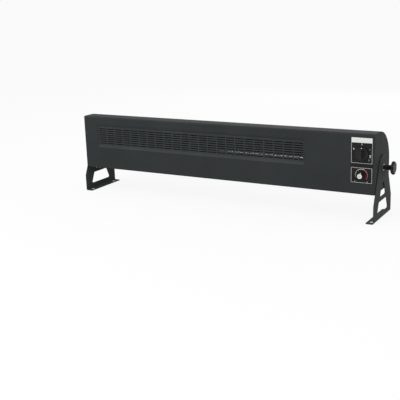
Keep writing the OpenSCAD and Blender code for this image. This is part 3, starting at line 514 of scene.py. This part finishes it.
# %% [markdown]
# ## Shapes for print
# A frame or a scale is a band between two loops of points. A strip, a cap or a dot is a slab
# with an outline. Curves could draw them too, but points give exact corners and few faces.

# %% Shapes for print
CORNER_STEPS = 6


def rounded_frame(x0, z0, x1, z1, radius):
    """A rectangle with rounded corners, a loop of (x, z) clockwise from the top right."""
    loop = []
    for cx, cz, first in ((x1, z1, 90), (x1, z0, 0), (x0, z0, -90), (x0, z1, -180)):
        middle_x = cx - math.copysign(radius, cx - (x0 + x1) / 2)
        middle_z = cz - math.copysign(radius, cz - (z0 + z1) / 2)
        for i in range(CORNER_STEPS + 1):
            a = math.radians(first - 90 * i / CORNER_STEPS)
            loop.append((middle_x + radius * math.cos(a), middle_z + radius * math.sin(a)))
    return loop


def lay(bm, loop, y):
    """The points of a loop of (x, z), laid at one depth."""
    return [bm.verts.new((x, y, z)) for x, z in loop]


def band_between(bm, outer, inner, closed=True):
    """A thin band between two loops of equal length, standing proud of the plate."""
    back_out, back_in = lay(bm, outer, PLATE_FACE), lay(bm, inner, PLATE_FACE)
    front_out, front_in = lay(bm, outer, PLATE_FACE - INK), lay(bm, inner, PLATE_FACE - INK)
    n = len(outer)
    for i in range(n if closed else n - 1):
        j = (i + 1) % n
        bm.faces.new((front_out[i], front_out[j], front_in[j], front_in[i]))
        bm.faces.new((back_out[j], back_out[i], back_in[i], back_in[j]))
        bm.faces.new((back_out[i], back_out[j], front_out[j], front_out[i]))
        bm.faces.new((back_in[j], back_in[i], front_in[i], front_in[j]))
    if not closed:
        for i in (0, n - 1):
            bm.faces.new((back_out[i], front_out[i], front_in[i], back_in[i]))


def slab(bm, outline, face=PLATE_FACE, depth=INK):
    """A flat skin with an outline of (x, z) points, standing proud of a face."""
    back, front = lay(bm, outline, face), lay(bm, outline, face - depth)
    bm.faces.new(front)
    bm.faces.new(back[::-1])
    for i in range(len(outline)):
        j = (i + 1) % len(outline)
        bm.faces.new((back[i], back[j], front[j], front[i]))


def disc(bm, x, z, radius, steps=32, face=PLATE_FACE, depth=INK):
    """A round skin, as a slab of many corners."""
    turns = [math.tau * i / steps for i in range(steps)]
    slab(bm, [(x + radius * math.cos(a), z + radius * math.sin(a)) for a in turns], face, depth)


# %% [markdown]
# ## From points to a piece
# A bmesh is a mesh under construction: points and faces are added freely, and the result is
# then written to a mesh and an object. Each piece rides on the body that carries it on the
# real heater, so it moves with the joint.

# %% From points to a piece


def attach(piece, finish, body):
    """Puts a new piece in the scene with its finish, and lets it ride on a body."""
    scene.collection.objects.link(piece)
    give_finish(piece, finish)
    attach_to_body(piece, body)
    print(piece.name, len(piece.data.polygons), "faces on", body)


def piece_from(name, bm, finish, body):
    """Turns a finished bmesh into a piece."""
    bmesh.ops.recalc_face_normals(bm, faces=bm.faces)
    mesh = bpy.data.meshes.new(name)
    bm.to_mesh(mesh)
    bm.free()
    attach(bpy.data.objects.new(name, mesh), finish, body)


# %% [markdown]
# ## Inks
# Screen ink dries to an even, satin film. It could be one flat colour, but a film that
# wanders by a few levels looks less like paper cut-outs.

# %% Inks
INK_CLOUDS, INK_FADE, INK_ROUGHNESS = 600, 8, 0.42


def ink(name, colour):
    """An opaque ink of one colour."""
    finish, tree, shader = start_finish(name)
    faded = [max(0, v - INK_FADE) for v in colour]
    tint(tree, shader, noise(tree, INK_CLOUDS), faded, colour)
    shader.inputs["Roughness"].default_value = INK_ROUGHNESS
    return finish


white_ink = ink("white_ink", (238, 238, 236))
grey_ink = ink("grey_ink", (206, 206, 204))
red_ink = ink("red_ink", (150, 40, 62))
print("inks:", white_ink.name, grey_ink.name, red_ink.name)

# %% [markdown]
# ## The frames and the header strip
# A thin grey line frames the field of each dial, and a pale strip fills the top of the upper
# field. A frame could be cut out of a plate, but it is simpler to lay two rounded loops, one
# inside the other, and to fill the band between them.

# %% The frames and the header strip
HEADER_HEIGHT = 15.5 * MM
LOWER_FIELD_TOP, UPPER_FIELD_FOOT = PLATE_LOW.z + 51 * MM, PLATE_LOW.z + 65.5 * MM
LINE, EDGE = 1.15 * MM, 1.0 * MM
OUTER_CORNER, INNER_CORNER, HEADER_CORNER = 1.6 * MM, 1.0 * MM, 0.8 * MM


def field_frame(bm, low_z, high_z):
    """The frame of one field, between two heights."""
    x0, x1 = PLATE_LOW.x + EDGE, PLATE_HIGH.x - EDGE
    outer = rounded_frame(x0, low_z, x1, high_z, OUTER_CORNER)
    inner = rounded_frame(x0 + LINE, low_z + LINE, x1 - LINE, high_z - LINE, INNER_CORNER)
    band_between(bm, outer, inner)


bm = bmesh.new()
field_frame(bm, UPPER_FIELD_FOOT, PLATE_HIGH.z - EDGE)
field_frame(bm, PLATE_LOW.z + EDGE, LOWER_FIELD_TOP)
piece_from("printed_frames", bm, grey_ink, "housing")

bm = bmesh.new()
x0, x1 = PLATE_LOW.x + EDGE + LINE, PLATE_HIGH.x - EDGE - LINE
z1 = PLATE_HIGH.z - EDGE - LINE
z0 = z1 - HEADER_HEIGHT
slab(bm, rounded_frame(x0, z0, x1, z1, HEADER_CORNER))
piece_from("printed_header", bm, white_ink, "housing")

# %% [markdown]
# ## The colour of the thermostat's scale
# The scale runs from pale at the cool end to red at the hot end, around the knob. Many small
# pieces of ink could each have a colour, but they would show steps. Here the colour follows
# the angle about the dial, so the node tree takes the arctangent of the place.

# %% The colour of the thermostat's scale
RAMP_REACH = math.radians(135)
COOL_END, HOT_RED = (206, 200, 198), (150, 36, 58)
BETWEEN = {0.52: (214, 190, 182), 0.72: (186, 70, 92)}


def scale_ink():
    """An ink whose colour follows the clock angle about the thermostat's spindle."""
    finish, tree, shader = start_finish("scale_ink")
    place = add_node(tree, "ShaderNodeTexCoord")
    parts = add_node(tree, "ShaderNodeSeparateXYZ")
    across = add_node(tree, "ShaderNodeMath", operation="SUBTRACT")
    across.inputs[1].default_value = DIAL_X
    above = add_node(tree, "ShaderNodeMath", operation="SUBTRACT")
    above.inputs[1].default_value = HEAT_Z
    angle = add_node(tree, "ShaderNodeMath", operation="ARCTAN2")
    span = add_node(tree, "ShaderNodeMapRange")
    span.inputs["From Min"].default_value = -RAMP_REACH
    span.inputs["From Max"].default_value = RAMP_REACH
    ramp = add_node(tree, "ShaderNodeValToRGB")
    first, last = ramp.color_ramp.elements
    first.color, last.color = linear(*COOL_END), linear(*HOT_RED)
    for position, colour in BETWEEN.items():
        ramp.color_ramp.elements.new(position).color = linear(*colour)
    tree.links.new(place.outputs["Object"], parts.inputs["Vector"])
    tree.links.new(parts.outputs["X"], across.inputs[0])
    tree.links.new(parts.outputs["Z"], above.inputs[0])
    tree.links.new(across.outputs["Value"], angle.inputs[0])
    tree.links.new(above.outputs["Value"], angle.inputs[1])
    tree.links.new(angle.outputs["Value"], span.inputs["Value"])
    tree.links.new(span.outputs["Result"], ramp.inputs["Fac"])
    tree.links.new(ramp.outputs["Color"], shader.inputs["Base Color"])
    shader.inputs["Roughness"].default_value = INK_ROUGHNESS
    return finish


heat_ink = scale_ink()
print("scale colours:", len(BETWEEN) + 2)

# %% [markdown]
# ## The thermostat's scale
# The printed band grows wider towards the hot end. Fine red ticks stand inside it, with a
# minus and a plus below its ends. Band and ticks could be drawn on a grid, but they follow
# the turn of the knob, so they are laid out by clock angles about its spindle.

# %% The thermostat's scale
SCALE_RADIUS = 20 * MM
SCALE_THIN, SCALE_GROWTH = 0.9, 1.9  # millimetres
COLD_END, HOT_END, STEPS = -105, 130, 47  # clock angles in degrees, and a count


def dial_point(radius, clockwise, height):
    """A point at a clock angle from the top, about a dial at a given height."""
    a = math.radians(clockwise)
    return DIAL_X + radius * math.sin(a), height + radius * math.cos(a)


bm = bmesh.new()
angles = [COLD_END + (HOT_END - COLD_END) * i / STEPS for i in range(STEPS + 1)]
widths = [(SCALE_THIN + SCALE_GROWTH * i / STEPS) * MM for i in range(STEPS + 1)]
outer = [dial_point(SCALE_RADIUS + w / 2, a, HEAT_Z) for a, w in zip(angles, widths)]
inner = [dial_point(SCALE_RADIUS - w / 2, a, HEAT_Z) for a, w in zip(angles, widths)]
band_between(bm, outer, inner, closed=False)
piece_from("heat_scale", bm, heat_ink, "housing")

# %% Ticks and end signs
TICK_GAPS, TICK_WIDTH = 8, 0.5 * MM
TICK_FROM, TICK_TO = 14.6 * MM, 16.6 * MM
SIGN_ASIDE, SIGN_SHIFT, SIGN_BELOW = 20.5, 1.5, 21.5  # millimetres
SIGN_HALF, SIGN_WIDTH = 2 * MM, 0.8 * MM


def stroke(bm, x0, z0, x1, z1, width):
    """A straight printed line between two points of the plate."""
    across = Vector((z0 - z1, x1 - x0)).normalized() * width / 2
    left_side = [(x0 + across.x, z0 + across.y), (x1 + across.x, z1 + across.y)]
    right_side = [(x0 - across.x, z0 - across.y), (x1 - across.x, z1 - across.y)]
    band_between(bm, left_side, right_side, closed=False)


bm = bmesh.new()
for i in range(TICK_GAPS + 1):
    angle = COLD_END + (HOT_END - COLD_END) * i / TICK_GAPS
    start, end = dial_point(TICK_FROM, angle, HEAT_Z), dial_point(TICK_TO, angle, HEAT_Z)
    stroke(bm, *start, *end, TICK_WIDTH)
piece_from("heat_ticks", bm, red_ink, "housing")

bm = bmesh.new()
for side in (-1, 1):
    x, z = DIAL_X + (side * SIGN_ASIDE - SIGN_SHIFT) * MM, HEAT_Z - SIGN_BELOW * MM
    stroke(bm, x - SIGN_HALF, z, x + SIGN_HALF, z, SIGN_WIDTH)
    if side > 0:
        stroke(bm, x, z - SIGN_HALF, x, z + SIGN_HALF, SIGN_WIDTH)
piece_from("heat_end_signs", bm, white_ink, "housing")

# %% [markdown]
# ## The thermostat's cap
# The knob itself is black. A white cap lies on its front and on its short nose and shows
# where it points, so it turns with the knob and not with the housing. The cap could be a
# second material on the knob's front face, but it stops short of that face's edge, so it is
# a thin slab of its own.

# %% The thermostat's cap
KNOB_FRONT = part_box("thermostat_knob")[0].y
POINTER = 20  # clock angle in degrees
CAP_RADIUS, CAP_THICKNESS, CAP_STEPS = 8.0 * MM, 0.3 * MM, 48
NOSE_REACH, NOSE_HALF = 11.8 * MM, 1.1 * MM
PLUG_RADIUS = 2.8 * MM

bm = bmesh.new()
spread = math.degrees(math.asin(NOSE_HALF / CAP_RADIUS))
around = 360 - 2 * spread
turns = [POINTER + spread + around * i / CAP_STEPS for i in range(CAP_STEPS + 1)]
cap_edge = [dial_point(CAP_RADIUS, turn, HEAT_Z) for turn in turns]
tip_x, tip_z = dial_point(NOSE_REACH, POINTER, HEAT_Z)
side_x = NOSE_HALF * math.cos(math.radians(POINTER))
side_z = -NOSE_HALF * math.sin(math.radians(POINTER))
cap_edge += [(tip_x - side_x, tip_z - side_z), (tip_x + side_x, tip_z + side_z)]
slab(bm, cap_edge, KNOB_FRONT, CAP_THICKNESS)
piece_from("thermostat_cap", bm, white_plastic, "thermostat_control")

bm = bmesh.new()
disc(bm, DIAL_X, HEAT_Z, PLUG_RADIUS, face=KNOB_FRONT - CAP_THICKNESS)
piece_from("thermostat_cap_plug", bm, grey_plastic, "thermostat_control")

# %% [markdown]
# ## Marks of the cam switch
# Four positions lie about 60 degrees apart: off, a plain fan sign and two figures for the
# steps of heat, with three waves beside them. The figures are text that is turned into a
# mesh, because a mesh rides and exports like every other piece. The signs are built from
# discs and bands.

# %% Figures of the cam switch
MARK_RADIUS = 31 * MM


def figure(name, text, clockwise, size):
    """A printed figure at a clock angle about the switch's spindle."""
    x, z = dial_point(MARK_RADIUS, clockwise, SWITCH_Z)
    curve = bpy.data.curves.new(name, "FONT")
    curve.body = text
    curve.size = size
    curve.align_x = "CENTER"
    curve.align_y = "CENTER"
    curve.extrude = INK / 2
    written = bpy.data.objects.new(name, curve)
    scene.collection.objects.link(written)
    upright_turn = Matrix.Rotation(math.pi / 2, 4, "X")
    written.matrix_world = Matrix.Translation((x, PLATE_FACE - INK / 2, z)) @ upright_turn
    bpy.context.view_layer.update()
    depsgraph = bpy.context.evaluated_depsgraph_get()
    mesh = bpy.data.meshes.new_from_object(written.evaluated_get(depsgraph))
    mesh.transform(written.matrix_world)
    bpy.data.objects.remove(written)
    attach(bpy.data.objects.new(name, mesh), white_ink, "housing")


figure("mark_off", "0", clockwise=0, size=7 * MM)
figure("mark_one", "1", clockwise=60, size=6 * MM)
figure("mark_two", "2", clockwise=128, size=6 * MM)

# %% Signs of the cam switch
WAVES, WAVE_POINTS, POINTS_A_SWING = 3, 16, 8
WAVE_ASIDE, WAVE_PITCH, WAVE_SWING = 26.4, 1.6, 0.4  # millimetres
WAVE_FOOT, WAVE_STEP = -11, 0.6  # millimetres
WAVE_HALF = 0.4 * MM
FAN_HUB, FAN_BLADE, BLADE_OUT = 0.7 * MM, 1.05 * MM, 1.9 * MM
FAN_CLOCKWISE, BLADES, FAN_STEPS = -60, 3, 16

bm = bmesh.new()
for i in range(WAVES):
    wave = []
    for k in range(WAVE_POINTS):
        swing = WAVE_SWING * math.sin(k * math.tau / POINTS_A_SWING)
        x = DIAL_X + (WAVE_ASIDE + WAVE_PITCH * i + swing) * MM
        wave.append((x, SWITCH_Z + (WAVE_FOOT + k * WAVE_STEP) * MM))
    left_side = [(x - WAVE_HALF, z) for x, z in wave]
    right_side = [(x + WAVE_HALF, z) for x, z in wave]
    band_between(bm, left_side, right_side, closed=False)
piece_from("mark_heat", bm, white_ink, "housing")

bm = bmesh.new()
fan_x, fan_z = dial_point(MARK_RADIUS, FAN_CLOCKWISE, SWITCH_Z)
disc(bm, fan_x, fan_z, FAN_HUB, FAN_STEPS)
for blade in range(BLADES):
    a = math.radians(360 / BLADES * blade)
    x, z = fan_x + BLADE_OUT * math.sin(a), fan_z + BLADE_OUT * math.cos(a)
    disc(bm, x, z, FAN_BLADE, FAN_STEPS)
piece_from("mark_fan", bm, white_ink, "housing")

# %% [markdown]
# ## The dot of the switch knob
# The skirt has a shallow round well near its edge, and white filler in it shows which mark
# the knob points at. The filler could be flush, but it stands a hair proud, as filler does,
# so it never shares a surface with the skirt.

# %% The dot of the switch knob
SKIRT_THICKNESS = 4 * MM
SKIRT_ACROSS, SKIRT_RIM, WELL_ACROSS = 44, 1, 3.5  # millimetres
SKIRT_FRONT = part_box("switch_knob")[1].y - SKIRT_THICKNESS
DOT_HEIGHT = SWITCH_Z + (SKIRT_ACROSS / 2 - SKIRT_RIM - WELL_ACROSS / 2) * MM
FILLER_RADIUS, FILLER_BACK, FILLER_DEPTH = 1.7 * MM, 0.55 * MM, 0.65 * MM

bm = bmesh.new()
disc(bm, DIAL_X, DOT_HEIGHT, FILLER_RADIUS, face=SKIRT_FRONT + FILLER_BACK, depth=FILLER_DEPTH)
piece_from("switch_dot", bm, white_plastic, "switch")
